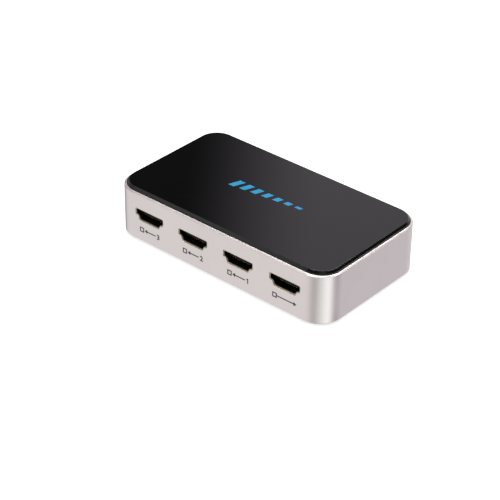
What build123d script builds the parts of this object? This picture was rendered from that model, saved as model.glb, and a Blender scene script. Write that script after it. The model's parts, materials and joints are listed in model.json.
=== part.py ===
"""HDMI switch box: three inputs, one output, select button and remote window.

Millimetres. The origin is the middle of the resting plane, +Z up, X along the long side.
The four receptacles open towards -Y, the button, lights and window are in the +Y face,
and the power jack is in the -X face.
"""

import os
from math import cos, radians, sin

from build123d import *

os.makedirs("parts", exist_ok=True)

# Housing: an open-bottomed metal tub
housing_length = 106.0
housing_depth = 59.2
housing_height = 20.9
corner_radius = 9.6
wall = 2.0
deck_thickness = 1.5
rim_width = 0.85
rim_chamfer = 0.5
base_edge_chamfer = 0.35
overrun = 1.0

# Top plate and its adhesive frame
plate_thickness = 2.5
plate_proud = 1.3
plate_bevel = 0.85
plate_clearance = 0.2
tape_thickness = 0.2
tape_setback = 1.5
tape_width = 7.0

# Base cover
cover_thickness = 2.0
cover_lap = 0.8
cover_clearance = 0.1
cover_edge_chamfer = 0.4
cover_lip_thickness = 1.0
cover_lip_height = 1.2
cover_rib_thickness = 1.2
cover_rib_height = 1.8

# Posts that take the cover's screws, and their gussets
post_diameter = 6.0
post_pilot = 2.2
post_pilot_depth = 8.0
post_inset_x = 6.5
post_inset_y = 7.6
post_clear_of_cover = 2.0
gusset_thickness = 1.2
gusset_clear_of_cover = 5.0

# Cover screws and the cups that hold their heads
cup_diameter = 7.6
cup_floor = 1.2
cup_bore = 5.2
cover_screw_hole = 2.8
cover_screw_head = 4.6
cover_screw_head_height = 1.6
cover_screw_reach = 7.0
screw_fit = 0.05
recess_arm_share = 0.62
recess_width_share = 0.16
recess_depth_share = 0.55

# Rubber feet
foot_diameter = 9.0
foot_proud = 0.8
foot_recess = 0.6
foot_clearance = 0.15
foot_edge_bevel = 0.4
foot_inset_x = 19.0
foot_inset_y = 9.5

# Circuit board, its bosses and its screws
board_thickness = 1.6
board_edge_gap = 0.4
board_rear_gap = 1.5
board_notch_gap = 0.6
board_notch_round = 1.0
boss_diameter = 5.0
boss_pilot = 1.7
boss_pilot_depth = 5.0
boss_behind_contacts = 0.8
rear_boss_inset_x = 12.5
rear_boss_inset_y = 15.6
board_screw_hole = 2.2
board_screw_head = 3.6
board_screw_head_height = 1.3
board_screw_reach = 4.0
pillar_diameter = 3.2
pillar_gap = 0.1
rear_pillar_x_share = 0.16
rear_pillar_y_share = 0.34

# HDMI receptacles
port_names = ["input_3", "input_2", "input_1", "output"]
port_height = 11.73
port_end_margin = 18.8
mouth_width = 14.1
mouth_height = 4.45
mouth_side = 2.3
mouth_shoulder_width = 11.2
mouth_shoulder_drop = 3.0
mouth_floor_width = 9.7
mouth_corner_round = 0.5
shell_sheet = 0.25
shell_length = 11.0
shell_set_in = 0.2
cutout_clearance = 0.12
tab_width = 1.8
tab_below_board = 1.0
tab_slot_clearance = 0.2
tab_front_margin = 0.65
tab_back_margin = 1.1
spring_width = 1.8
spring_slot = 0.3
spring_dip = 0.4
spring_spacing = 5.6
spring_front_margin = 2.2
spring_root_margin = 0.5
spring_tip_share = 0.25
spring_knee_share = 0.3
tongue_width = 11.4
tongue_thickness = 1.2
tongue_rise = 0.35
tongue_set_in = 1.5
tongue_tip_chamfer = 0.25
block_set_in = 0.3
block_thickness = 3.1
block_fit = 0.05
contact_pitch = 1.0
contact_width = 0.36
contact_thickness = 0.2
contact_set_in = 0.4
contact_drop = 0.5
contact_foot = 1.0
contact_slot_fit = 0.06
upper_contact_count = 10
lower_contact_count = 9

# Select button and its switch
button_end_margin = 21.0
button_width = 8.0
button_height = 3.6
button_proud = 0.7
button_edge_bevel = 0.4
button_hole_clearance = 0.15
button_flange_lip = 0.6
button_flange_thickness = 0.8
button_stop_gap = 0.1
button_stem = 2.6
button_gap = 0.05
switch_setback = 3.2
switch_width = 6.0
switch_depth = 3.4
switch_height = 5.1
switch_bore = 3.2
switch_bore_depth = 1.8
plunger_diameter = 2.4
plunger_reach = 1.1
plunger_collar = 3.0
plunger_collar_thickness = 0.6
plunger_nub = 1.2
plunger_nub_reach = 0.5
plunger_slack = 0.1
frame_sheet = 0.3
frame_hole_clearance = 0.1
frame_leg_width = 1.6
frame_side_fit = 0.05
dome_diameter = 2.9
dome_crown = 1.3
dome_sheet = 0.1
dome_gap = 0.02
terminal_width = 0.7
terminal_thickness = 0.3
terminal_spacing = 4.4
terminal_rise_share = 0.33
leg_below_board = 1.0
leg_slot_clearance = 0.15

# Infrared window and receiver
window_end_margin = 21.0
window_width = 9.0
window_height = 3.8
window_clearance = 0.1
window_flange_lip = 0.6
window_flange_thickness = 0.7
receiver_width = 6.0
receiver_depth = 3.0
receiver_height = 5.6
receiver_stand = 0.4
receiver_lens_radius = 1.9
receiver_lens_height = 3.8
receiver_lens_gap = 0.5
receiver_edge_chamfer = 0.5
receiver_lead_width = 0.45
receiver_lead_pitch = 2.0

# Lights and their guide
channel_led_xs_shares = [0.085, 0.028, -0.028]
power_led_x_share = 0.16
guide_tip_diameter = 2.0
guide_tip_clearance = 0.1
guide_reach = 6.6
guide_neck = 0.4
guide_rod = 1.8
guide_elbow_chamfer = 1.3
guide_bar_setback = 4.5
guide_bar_thickness = 1.2
guide_bar_height = 1.4
guide_peg_diameter = 1.2
guide_peg_fit = 0.1
guide_shoulder = 2.2
led_length = 1.6
led_width = 1.2
led_height = 0.8
led_gap = 0.2

# Power jack
jack_y = 2.0
jack_width = 6.4
jack_length = 10.5
jack_height = 6.2
jack_collar = 5.8
jack_collar_clearance = 0.15
jack_set_in = 0.2
jack_bore = 3.7
jack_bore_depth = 9.0
jack_pin = 1.3
jack_pin_set_in = 1.2
jack_pin_bevel = 0.4
jack_wall_gap = 0.2
jack_edge_chamfer = 0.4
jack_pin_fit = 0.05
jack_tail_sheet = 0.3
jack_tail_width = 1.8
jack_spring_sheet = 0.25
jack_spring_width = 1.6
jack_spring_length = 4.5
jack_spring_setback = 3.0
jack_spring_fit = 0.1

# Switch chip and controller chip
chip_side = 14.0
chip_height = 1.4
chip_stand = 0.1
chip_lead_count = 12
chip_lead_pitch = 1.0
chip_lead_width = 0.35
chip_lead_thickness = 0.15
chip_lead_reach = 1.2
chip_edge_chamfer = 0.3
chip_mark = 0.9
chip_mark_inset = 1.1
chip_mark_depth = 0.1
lead_shoulder_share = 0.35
chip_y_share = -0.05
controller_length = 10.0
controller_width = 4.0
controller_height = 1.5
controller_lead_count = 8
controller_lead_pitch = 1.27
controller_lead_width = 0.42
controller_lead_reach = 1.1
controller_place_shares = (-0.18, 0.2)

# Supply parts
regulator_length = 6.5
regulator_width = 3.5
regulator_height = 1.6
regulator_place_shares = (-0.29, -0.09)
regulator_lead_reach = 1.5
regulator_lead_width = 0.7
regulator_lead_pitch = 2.3
regulator_tab_width = 3.0
regulator_lead_count = 3
inductor_diameter = 5.6
inductor_waist = 3.4
inductor_height = 2.6
inductor_flange = 0.6
inductor_place_shares = (-0.31, 0.1)
capacitor_diameter = 5.0
capacitor_height = 4.4
capacitor_edge_bevel = 0.4
capacitor_base_side = 5.3
capacitor_base_height = 0.5
capacitor_base_round = 0.8
capacitor_places_shares = [(-0.43, -0.15), (-0.36, -0.15), (0.36, -0.02)]
crystal_length = 11.0
crystal_width = 4.6
crystal_height = 3.4
crystal_brim = 0.4
crystal_brim_height = 0.5
crystal_place_shares = (0.18, 0.16)

# Small chips by the ports and round the switch chip
esd_length = 4.4
esd_width = 1.3
esd_height = 0.6
esd_spacing = 6.0
esd_behind_contacts = 0.8
small_chip_length = 1.6
small_chip_width = 0.8
small_chip_height = 0.7
resistor_chip_height = 0.5
capacitor_chip_places_shares = [
    (-0.11, -0.2), (0.11, -0.2), (-0.11, 0.16), (0.11, 0.05),
    (0.0, 0.14), (-0.17, -0.05), (0.28, -0.12), (0.28, 0.14),
]
resistor_chip_places_shares = [
    (-0.07, 0.28), (0.02, 0.22), (0.09, 0.28), (0.2, 0.29),
    (-0.22, 0.05), (0.2, -0.1), (0.2, -0.02), (-0.27, 0.22),
]

# Heights above the resting plane
base_z = foot_proud
rim_z = base_z + housing_height
plate_top_z = rim_z + plate_proud
plate_bottom_z = plate_top_z - plate_thickness
deck_top_z = plate_bottom_z - tape_thickness
deck_bottom_z = deck_top_z - deck_thickness
cover_top_z = base_z + cover_thickness
post_end_z = cover_top_z + post_clear_of_cover
port_z = base_z + port_height
board_top_z = port_z - mouth_height / 2 - shell_sheet
board_bottom_z = board_top_z - board_thickness

# Faces of the walls
front_y = -housing_depth / 2
rear_y = housing_depth / 2
left_x = -housing_length / 2
cavity_length = housing_length - 2 * wall
cavity_depth = housing_depth - 2 * wall
cavity_radius = corner_radius - wall
rear_inner_y = cavity_depth / 2
left_inner_x = -cavity_length / 2

# Places that several pieces share
port_pitch = (housing_length - 2 * port_end_margin) / (len(port_names) - 1)
port_xs = [port_pitch * (index - (len(port_names) - 1) / 2) for index in range(len(port_names))]
button_x = button_end_margin - housing_length / 2
window_x = housing_length / 2 - window_end_margin
post_x = housing_length / 2 - post_inset_x
post_y = housing_depth / 2 - post_inset_y
board_length = cavity_length - 2 * board_edge_gap
board_front_y = board_edge_gap - cavity_depth / 2
board_rear_y = cavity_depth / 2 - board_rear_gap
board_depth = board_rear_y - board_front_y
board_y = (board_rear_y + board_front_y) / 2
shell_front_y = front_y + shell_set_in
shell_back_y = shell_front_y + shell_length
tab_ys = [
    board_front_y + tab_front_margin + tab_width / 2,
    shell_back_y - tab_back_margin - tab_width / 2,
]
contact_drop_y = shell_back_y + contact_drop
contact_end_y = contact_drop_y + contact_thickness + contact_foot
front_boss_y = contact_end_y + boss_behind_contacts + boss_diameter / 2
boss_places = [
    (-port_pitch, front_boss_y),
    (port_pitch, front_boss_y),
    (rear_boss_inset_x - housing_length / 2, housing_depth / 2 - rear_boss_inset_y),
    (housing_length / 2 - rear_boss_inset_x, housing_depth / 2 - rear_boss_inset_y),
]
post_places = [(x, y) for x in (-post_x, post_x) for y in (-post_y, post_y)]
jack_z = board_top_z + jack_height / 2
led_xs = [housing_length * share for share in channel_led_xs_shares + [power_led_x_share]]
guide_back_y = rear_y - guide_reach
led_y = guide_back_y + guide_rod / 2
guide_bar_y = rear_y - guide_bar_setback


def facing_front(y, z=port_z):
    """A plane that looks towards -Y, with X to the right and Z up."""
    return Plane(origin=(0, y, z), x_dir=(1, 0, 0), z_dir=(0, -1, 0))


def facing_left(x, y=jack_y, z=jack_z):
    """A plane that looks towards -X, with Z up."""
    return Plane(origin=(x, y, z), x_dir=(0, -1, 0), z_dir=(-1, 0, 0))


def across(x):
    """The plane that cuts the box at x, with Y to the right and Z up."""
    return Plane.YZ.offset(x)


def on_board(shares):
    """A place on the board from its shares of the board's length and depth."""
    return (board_length * shares[0], board_y + board_depth * shares[1])


def save(piece, node):
    """Names a finished piece and writes it."""
    piece.label = node
    export_step(piece, f"parts/{node}.step")


# Outline of a receptacle's mouth: wide side up, drawn in below by a shoulder on each side
with BuildSketch() as mouth:
    with BuildLine():
        Polyline(
            (-mouth_width / 2, mouth_height / 2),
            (mouth_width / 2, mouth_height / 2),
            (mouth_width / 2, mouth_height / 2 - mouth_side),
            (mouth_shoulder_width / 2, mouth_height / 2 - mouth_shoulder_drop),
            (mouth_floor_width / 2, -mouth_height / 2),
            (-mouth_floor_width / 2, -mouth_height / 2),
            (-mouth_shoulder_width / 2, mouth_height / 2 - mouth_shoulder_drop),
            (-mouth_width / 2, mouth_height / 2 - mouth_side),
            close=True,
        )
    make_face()
    fillet(mouth.vertices(), mouth_corner_round)


def grown_mouth(amount):
    """The mouth's outline moved outwards by amount."""
    with BuildSketch() as grown:
        add(mouth.sketch)
        offset(amount=amount)
    return grown.sketch


# Housing shell: walls, deck, plate pocket and cover rebate
with BuildPart() as housing_shell:
    with BuildSketch(Plane.XY.offset(base_z)):
        RectangleRounded(housing_length, housing_depth, corner_radius)
    extrude(amount=housing_height)
    chamfer(housing_shell.faces().sort_by(Axis.Z)[-1].edges(), rim_chamfer)
    chamfer(housing_shell.faces().sort_by(Axis.Z)[0].edges(), base_edge_chamfer)
    with BuildSketch(Plane.XY.offset(base_z - overrun)):
        RectangleRounded(cavity_length, cavity_depth, cavity_radius)
    extrude(amount=deck_bottom_z - base_z + overrun, mode=Mode.SUBTRACT)
    with BuildSketch(Plane.XY.offset(deck_top_z)):
        RectangleRounded(
            housing_length - 2 * rim_width,
            housing_depth - 2 * rim_width,
            corner_radius - rim_width,
        )
    extrude(amount=rim_z - deck_top_z + overrun, mode=Mode.SUBTRACT)
    with BuildSketch(Plane.XY.offset(base_z - overrun)):
        RectangleRounded(
            cavity_length + 2 * cover_lap,
            cavity_depth + 2 * cover_lap,
            cavity_radius + cover_lap,
        )
    extrude(amount=cover_thickness + overrun, mode=Mode.SUBTRACT)
    # Posts for the cover screws, each tied to both walls by gussets
    with BuildSketch(Plane.XY.offset(post_end_z)):
        with Locations(*post_places):
            Circle(post_diameter / 2)
    extrude(amount=deck_bottom_z - post_end_z)
    for x, y in post_places:
        side_x = cavity_length / 2 if x > 0 else -cavity_length / 2
        side_y = cavity_depth / 2 if y > 0 else -cavity_depth / 2
        with BuildSketch(Plane.XY.offset(cover_top_z + gusset_clear_of_cover)):
            with Locations(((x + side_x) / 2, y)):
                Rectangle(abs(side_x - x) + cover_lap, gusset_thickness)
            with Locations((x, (y + side_y) / 2)):
                Rectangle(gusset_thickness, abs(side_y - y) + cover_lap)
        extrude(amount=deck_bottom_z - cover_top_z - gusset_clear_of_cover)
    with BuildSketch(Plane.XY.offset(post_end_z)):
        with Locations(*post_places):
            Circle(post_pilot / 2)
    extrude(amount=post_pilot_depth, mode=Mode.SUBTRACT)
    # Bosses that the circuit board hangs from
    with BuildSketch(Plane.XY.offset(board_top_z)):
        with Locations(*boss_places):
            Circle(boss_diameter / 2)
    extrude(amount=deck_bottom_z - board_top_z)
    with BuildSketch(Plane.XY.offset(board_top_z)):
        with Locations(*boss_places):
            Circle(boss_pilot / 2)
    extrude(amount=boss_pilot_depth, mode=Mode.SUBTRACT)
    # Cut-outs for the receptacles
    with BuildSketch(facing_front(front_y - overrun)):
        with Locations(*[(x, 0) for x in port_xs]):
            add(grown_mouth(shell_sheet + cutout_clearance))
    extrude(amount=-wall - 2 * overrun, mode=Mode.SUBTRACT)
    # Holes for the button, the infrared window and the light guide's tips
    with BuildSketch(facing_front(rear_y + overrun)):
        with Locations((button_x, 0)):
            SlotOverall(
                button_width + 2 * button_hole_clearance,
                button_height + 2 * button_hole_clearance,
            )
        with Locations((window_x, 0)):
            SlotOverall(window_width + 2 * window_clearance, window_height + 2 * window_clearance)
        with Locations(*[(x, 0) for x in led_xs]):
            Circle(guide_tip_diameter / 2 + guide_tip_clearance)
    extrude(amount=wall + 2 * overrun, mode=Mode.SUBTRACT)
    # Hole for the power jack's collar
    with BuildSketch(facing_left(left_x - overrun)):
        Circle(jack_collar / 2 + jack_collar_clearance)
    extrude(amount=-wall - 2 * overrun, mode=Mode.SUBTRACT)
save(housing_shell.part, "housing_shell")

# Top plate, bevelled all round
plate_inset = rim_width + plate_clearance
with BuildPart() as top_plate:
    with BuildSketch(Plane.XY.offset(plate_bottom_z)):
        RectangleRounded(
            housing_length - 2 * plate_inset,
            housing_depth - 2 * plate_inset,
            corner_radius - plate_inset,
        )
    extrude(amount=plate_thickness)
    chamfer(top_plate.faces().sort_by(Axis.Z)[-1].edges(), plate_bevel)
save(top_plate.part, "top_plate")

# Adhesive frame between the deck and the plate
tape_inset = plate_inset + tape_setback
with BuildPart() as plate_tape:
    with BuildSketch(Plane.XY.offset(deck_top_z)):
        RectangleRounded(
            housing_length - 2 * tape_inset,
            housing_depth - 2 * tape_inset,
            corner_radius - tape_inset,
        )
        Rectangle(
            housing_length - 2 * (tape_inset + tape_width),
            housing_depth - 2 * (tape_inset + tape_width),
            mode=Mode.SUBTRACT,
        )
    extrude(amount=tape_thickness)
save(plate_tape.part, "plate_tape")

# Base cover: plate in the rebate, locating lip, screw cups, ribs and board pillars
lip_length = cavity_length - 2 * cover_clearance
lip_depth = cavity_depth - 2 * cover_clearance
foot_x = housing_length / 2 - foot_inset_x
foot_y = housing_depth / 2 - foot_inset_y
foot_places = {
    "foot_front_left": (-foot_x, -foot_y),
    "foot_front_right": (foot_x, -foot_y),
    "foot_back_left": (-foot_x, foot_y),
    "foot_back_right": (foot_x, foot_y),
}
pillar_row_y = sum(tab_ys) / len(tab_ys)
rear_pillar_x = board_length * rear_pillar_x_share
rear_pillar_y = board_y + board_depth * rear_pillar_y_share
pillar_places = [(-port_pitch, pillar_row_y), (0, pillar_row_y), (port_pitch, pillar_row_y)]
pillar_places += [(-rear_pillar_x, rear_pillar_y), (rear_pillar_x, rear_pillar_y)]
cup_bore_depth = post_end_z - cup_floor - base_z
with BuildPart() as base_cover:
    with BuildSketch(Plane.XY.offset(base_z)):
        RectangleRounded(
            cavity_length + 2 * cover_lap - 2 * cover_clearance,
            cavity_depth + 2 * cover_lap - 2 * cover_clearance,
            cavity_radius + cover_lap - cover_clearance,
        )
    extrude(amount=cover_thickness)
    chamfer(base_cover.faces().sort_by(Axis.Z)[0].edges(), cover_edge_chamfer)
    with BuildSketch(Plane.XY.offset(cover_top_z)):
        RectangleRounded(lip_length, lip_depth, cavity_radius - cover_clearance)
        RectangleRounded(
            lip_length - 2 * cover_lip_thickness,
            lip_depth - 2 * cover_lip_thickness,
            cavity_radius - cover_clearance - cover_lip_thickness,
            mode=Mode.SUBTRACT,
        )
    extrude(amount=cover_lip_height)
    with BuildSketch(Plane.XY.offset(cover_top_z)):
        with Locations((0, pillar_row_y), (0, rear_pillar_y)):
            Rectangle(lip_length - 2 * post_inset_x, cover_rib_thickness)
        with Locations((-rear_pillar_x, 0), (rear_pillar_x, 0)):
            Rectangle(cover_rib_thickness, lip_depth - cover_lip_thickness)
    extrude(amount=cover_rib_height)
    with BuildSketch(Plane.XY.offset(cover_top_z)):
        with Locations(*pillar_places):
            Circle(pillar_diameter / 2)
    extrude(amount=board_bottom_z - pillar_gap - cover_top_z)
    with BuildSketch(Plane.XY.offset(cover_top_z)):
        with Locations(*post_places):
            Circle(cup_diameter / 2)
    extrude(amount=post_clear_of_cover)
    with Locations(Plane.XY.offset(base_z).rotated((180, 0, 0))):
        with Locations(*post_places):
            CounterBoreHole(
                radius=cover_screw_hole / 2,
                counter_bore_radius=cup_bore / 2,
                counter_bore_depth=cup_bore_depth,
                depth=post_end_z - base_z + overrun,
            )
    with BuildSketch(Plane.XY.offset(base_z)):
        with Locations(*foot_places.values()):
            Circle(foot_diameter / 2 + foot_clearance)
    extrude(amount=foot_recess, mode=Mode.SUBTRACT)
save(base_cover.part, "base_cover")


def pan_screws(places, seat_z, head, head_height, shank, reach):
    """Flat-topped screws driven upwards, with their heads under seat_z and cross recesses."""
    with BuildPart() as screws:
        with BuildSketch(Plane.XY.offset(seat_z - head_height)):
            with Locations(*places):
                Circle(head / 2)
        extrude(amount=head_height)
        with BuildSketch(Plane.XY.offset(seat_z)):
            with Locations(*places):
                Circle(shank / 2)
        extrude(amount=reach)
        with BuildSketch(Plane.XY.offset(seat_z - head_height)):
            with Locations(*places):
                Rectangle(head * recess_arm_share, head * recess_width_share)
                Rectangle(head * recess_width_share, head * recess_arm_share)
        extrude(amount=head_height * recess_depth_share, mode=Mode.SUBTRACT)
    return screws.part


# Screws that hold the cover, and screws that hold the board
base_screws = pan_screws(
    post_places,
    post_end_z - cup_floor,
    cover_screw_head,
    cover_screw_head_height,
    post_pilot - 2 * screw_fit,
    cover_screw_reach,
)
save(base_screws, "base_screws")
board_screws = pan_screws(
    boss_places,
    board_bottom_z,
    board_screw_head,
    board_screw_head_height,
    boss_pilot - 2 * screw_fit,
    board_screw_reach,
)
save(board_screws, "board_screws")

# Rubber feet, stuck in the cover's recesses
for node, place in foot_places.items():
    with BuildPart() as foot:
        with BuildSketch():
            with Locations(place):
                Circle(foot_diameter / 2)
        extrude(amount=foot_proud + foot_recess)
        chamfer(foot.faces().sort_by(Axis.Z)[0].edges(), foot_edge_bevel)
    save(foot.part, node)

# Circuit board: notched round the posts, slotted for legs and drilled for screws and pegs
notch_x = post_x - post_diameter / 2 - board_notch_gap
notch_y = post_y - post_diameter / 2 - board_notch_gap
tab_x = mouth_width / 2 + shell_sheet / 2
tab_places = [(x + side * tab_x, y) for x in port_xs for side in (-1, 1) for y in tab_ys]
guide_peg_xs = [(led_xs[0] + led_xs[-1]) / 2, (led_xs[1] + led_xs[2]) / 2]
switch_front_y = rear_inner_y - switch_setback
switch_back_y = switch_front_y - frame_sheet - switch_depth
frame_leg_x = switch_width / 2 + frame_side_fit + frame_sheet / 2
frame_leg_y = (switch_front_y - frame_sheet + switch_back_y) / 2
frame_leg_places = [(button_x + side * frame_leg_x, frame_leg_y) for side in (-1, 1)]
frame_side_back_y = frame_leg_y - frame_leg_width / 2
with BuildPart() as circuit_board:
    with BuildSketch(Plane.XY.offset(board_bottom_z)) as board_outline:
        with Locations((0, board_y)):
            Rectangle(board_length, board_depth)
        for edge_y in (board_front_y, board_rear_y):
            with Locations((-board_length / 2, edge_y), (board_length / 2, edge_y)):
                Rectangle(
                    board_length - 2 * notch_x,
                    2 * (abs(edge_y) - notch_y),
                    mode=Mode.SUBTRACT,
                )
        fillet(board_outline.vertices(), board_notch_round)
        with Locations(*boss_places):
            Circle(board_screw_hole / 2, mode=Mode.SUBTRACT)
        with Locations(*tab_places):
            Rectangle(
                shell_sheet + 2 * tab_slot_clearance,
                tab_width + 2 * tab_slot_clearance,
                mode=Mode.SUBTRACT,
            )
        with Locations(*frame_leg_places):
            Rectangle(
                frame_sheet + 2 * leg_slot_clearance,
                frame_leg_width + 2 * leg_slot_clearance,
                mode=Mode.SUBTRACT,
            )
        with Locations(*[(x, guide_bar_y) for x in guide_peg_xs]):
            Circle(guide_peg_diameter / 2 + guide_peg_fit, mode=Mode.SUBTRACT)
    extrude(amount=board_thickness)
save(circuit_board.part, "circuit_board")


def bent_strip(inner, outer, foot, high, low, thickness):
    """Corners of a strip that runs out at one height, drops and ends in a foot."""
    return [
        (inner, high),
        (inner, high + thickness),
        (outer + thickness, high + thickness),
        (outer + thickness, low + thickness),
        (foot, low + thickness),
        (foot, low),
        (outer, low),
        (outer, high),
    ]


# Receptacles: folded shell, insulator with its tongue, and two rows of contacts
tongue_z = port_z + tongue_rise
upper_row_z = tongue_z + tongue_thickness / 2
lower_row_z = tongue_z - tongue_thickness / 2 - contact_thickness
row_counts = {upper_row_z: upper_contact_count, lower_row_z: lower_contact_count}
row_offsets = {
    row_z: [contact_pitch * (index - (count - 1) / 2) for index in range(count)]
    for row_z, count in row_counts.items()
}
block_front_y = shell_back_y - block_set_in - block_thickness
tongue_front_y = shell_front_y + tongue_set_in
spring_window_y = shell_front_y + spring_front_margin
spring_root_y = block_front_y - spring_root_margin
spring_tip_y = spring_window_y + spring_slot
spring_knee_y = spring_tip_y + (spring_root_y - spring_tip_y) * spring_knee_share


def spring_profile(side):
    """Corners of a finger that bends into the mouth, for the upper (1) or lower (-1) wall."""
    inner_z = port_z + side * mouth_height / 2
    outer_z = inner_z + side * shell_sheet
    knee_dip = side * spring_dip
    tip_dip = knee_dip * spring_tip_share
    return [
        (spring_root_y, inner_z),
        (spring_knee_y, inner_z - knee_dip),
        (spring_tip_y, inner_z - tip_dip),
        (spring_tip_y, outer_z - tip_dip),
        (spring_knee_y, outer_z - knee_dip),
        (spring_root_y, outer_z),
    ]


def receptacle_shell(x):
    """A sheet-metal tube with spring fingers, and four tabs that go down through the board."""
    spring_xs = [x - spring_spacing / 2, x + spring_spacing / 2]
    with BuildPart() as shell:
        with BuildSketch(facing_front(shell_front_y)):
            with Locations((x, 0)):
                add(grown_mouth(shell_sheet))
                add(mouth.sketch, mode=Mode.SUBTRACT)
        extrude(amount=-shell_length)
        tab_top_z = port_z + mouth_height / 2 - mouth_side / 2
        with BuildSketch(Plane.XY.offset(board_bottom_z - tab_below_board)):
            with Locations(*[(x + side * tab_x, y) for side in (-1, 1) for y in tab_ys]):
                Rectangle(shell_sheet, tab_width)
        extrude(amount=tab_top_z - board_bottom_z + tab_below_board)
        with BuildSketch(Plane.XY.offset(board_top_z - overrun)):
            with Locations(*[(spring_x, (spring_window_y + spring_root_y) / 2) for spring_x in spring_xs]):
                Rectangle(spring_width + 2 * spring_slot, spring_root_y - spring_window_y)
        extrude(amount=mouth_height + 2 * shell_sheet + 2 * overrun, mode=Mode.SUBTRACT)
        for side in (-1, 1):
            with BuildSketch(*[across(spring_x) for spring_x in spring_xs]):
                with BuildLine():
                    Polyline(*spring_profile(side), close=True)
                make_face()
            extrude(amount=spring_width / 2, both=True)
    return shell.part


def receptacle_insulator(x):
    """A block that closes the shell's back, with the tongue that carries the contacts."""
    with BuildPart() as insulator:
        with BuildSketch(facing_front(block_front_y)):
            with Locations((x, 0)):
                add(grown_mouth(-block_fit))
        extrude(amount=-block_thickness)
        with BuildSketch(facing_front(tongue_front_y)):
            with Locations((x, tongue_rise)):
                Rectangle(tongue_width, tongue_thickness)
        extrude(amount=-(block_front_y - tongue_front_y))
        tip = insulator.faces().sort_by(Axis.Y)[0]
        chamfer(tip.edges(), tongue_tip_chamfer)
        slot_side = contact_width + 2 * contact_slot_fit
        slot_height = contact_thickness + 2 * contact_slot_fit
        with BuildSketch(facing_front(block_front_y)):
            for row_z, offsets in row_offsets.items():
                with Locations(*[(x + dx, row_z + contact_thickness / 2 - port_z) for dx in offsets]):
                    Rectangle(slot_side, slot_height)
        extrude(amount=-block_thickness, mode=Mode.SUBTRACT)
    return insulator.part


def receptacle_contacts(x):
    """Nineteen strips: along the tongue, through the block and down to the board."""
    with BuildPart() as contacts:
        for row_z, offsets in row_offsets.items():
            strip = bent_strip(
                tongue_front_y + contact_set_in,
                contact_drop_y,
                contact_end_y,
                row_z,
                board_top_z,
                contact_thickness,
            )
            with BuildSketch(*[across(x + dx) for dx in offsets]):
                with BuildLine():
                    Polyline(*strip, close=True)
                make_face()
            extrude(amount=contact_width / 2, both=True)
    return contacts.part


for name, x in zip(port_names, port_xs):
    save(receptacle_shell(x), f"{name}_shell")
    save(receptacle_insulator(x), f"{name}_insulator")
    save(receptacle_contacts(x), f"{name}_contacts")

# Select button: cap through the wall, flange behind it, stem to the switch
plunger_tip_y = switch_front_y + plunger_reach
button_flange_y = rear_inner_y - button_stop_gap
with BuildPart() as select_button:
    with BuildSketch(facing_front(rear_y + button_proud)):
        with Locations((button_x, 0)):
            SlotOverall(button_width, button_height)
    extrude(amount=rear_y + button_proud - button_flange_y)
    chamfer(select_button.faces().sort_by(Axis.Y)[-1].edges(), button_edge_bevel)
    with BuildSketch(facing_front(button_flange_y)):
        with Locations((button_x, 0)):
            SlotOverall(button_width + 2 * button_flange_lip, button_height + 2 * button_flange_lip)
    extrude(amount=button_flange_thickness)
    with BuildSketch(facing_front(button_flange_y - button_flange_thickness)):
        with Locations((button_x, 0)):
            Circle(button_stem / 2)
    extrude(amount=button_flange_y - button_flange_thickness - plunger_tip_y - button_gap)
save(select_button.part, "select_button")

# Switch body with the bore that the plunger slides in
body_front_y = switch_front_y - frame_sheet
bore_floor_y = body_front_y - switch_bore_depth
with BuildPart() as switch_body:
    with BuildSketch(Plane.XY.offset(board_top_z)):
        with Locations((button_x, (body_front_y + switch_back_y) / 2)):
            Rectangle(switch_width, switch_depth)
    extrude(amount=switch_height)
    with BuildSketch(facing_front(body_front_y)):
        with Locations((button_x, 0)):
            Circle(switch_bore / 2)
    extrude(amount=switch_bore_depth, mode=Mode.SUBTRACT)
save(switch_body.part, "switch_body")

# Plunger: tip, retaining collar and the nub that works the dome
collar_front_y = body_front_y - plunger_slack
nub_back_y = collar_front_y - plunger_collar_thickness - plunger_nub_reach
with BuildPart() as switch_plunger:
    with BuildSketch(facing_front(plunger_tip_y)):
        with Locations((button_x, 0)):
            Circle(plunger_diameter / 2)
    extrude(amount=plunger_tip_y - collar_front_y)
    with BuildSketch(facing_front(collar_front_y)):
        with Locations((button_x, 0)):
            Circle(plunger_collar / 2)
    extrude(amount=plunger_collar_thickness)
    with BuildSketch(facing_front(collar_front_y - plunger_collar_thickness)):
        with Locations((button_x, 0)):
            Circle(plunger_nub / 2)
    extrude(amount=plunger_nub_reach)
save(switch_plunger.part, "switch_plunger")

# Snap dome: a pressed disc with sloping sides and a flat crown under the nub
dome_rise = nub_back_y - dome_gap - bore_floor_y
dome_rim = dome_diameter / 2
with BuildPart() as switch_dome:
    with BuildSketch(Plane(origin=(button_x, bore_floor_y, port_z))):
        with BuildLine():
            Polyline(
                (0, dome_rise),
                (dome_crown / 2, dome_rise),
                (dome_rim, dome_sheet),
                (dome_rim, 0),
                (dome_rim - dome_sheet, 0),
                (dome_crown / 2 - dome_sheet, dome_rise - dome_sheet),
                (0, dome_rise - dome_sheet),
                close=True,
            )
        make_face()
    revolve(axis=Axis((button_x, bore_floor_y, port_z), (0, 1, 0)))
save(switch_dome.part, "switch_dome")

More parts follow.
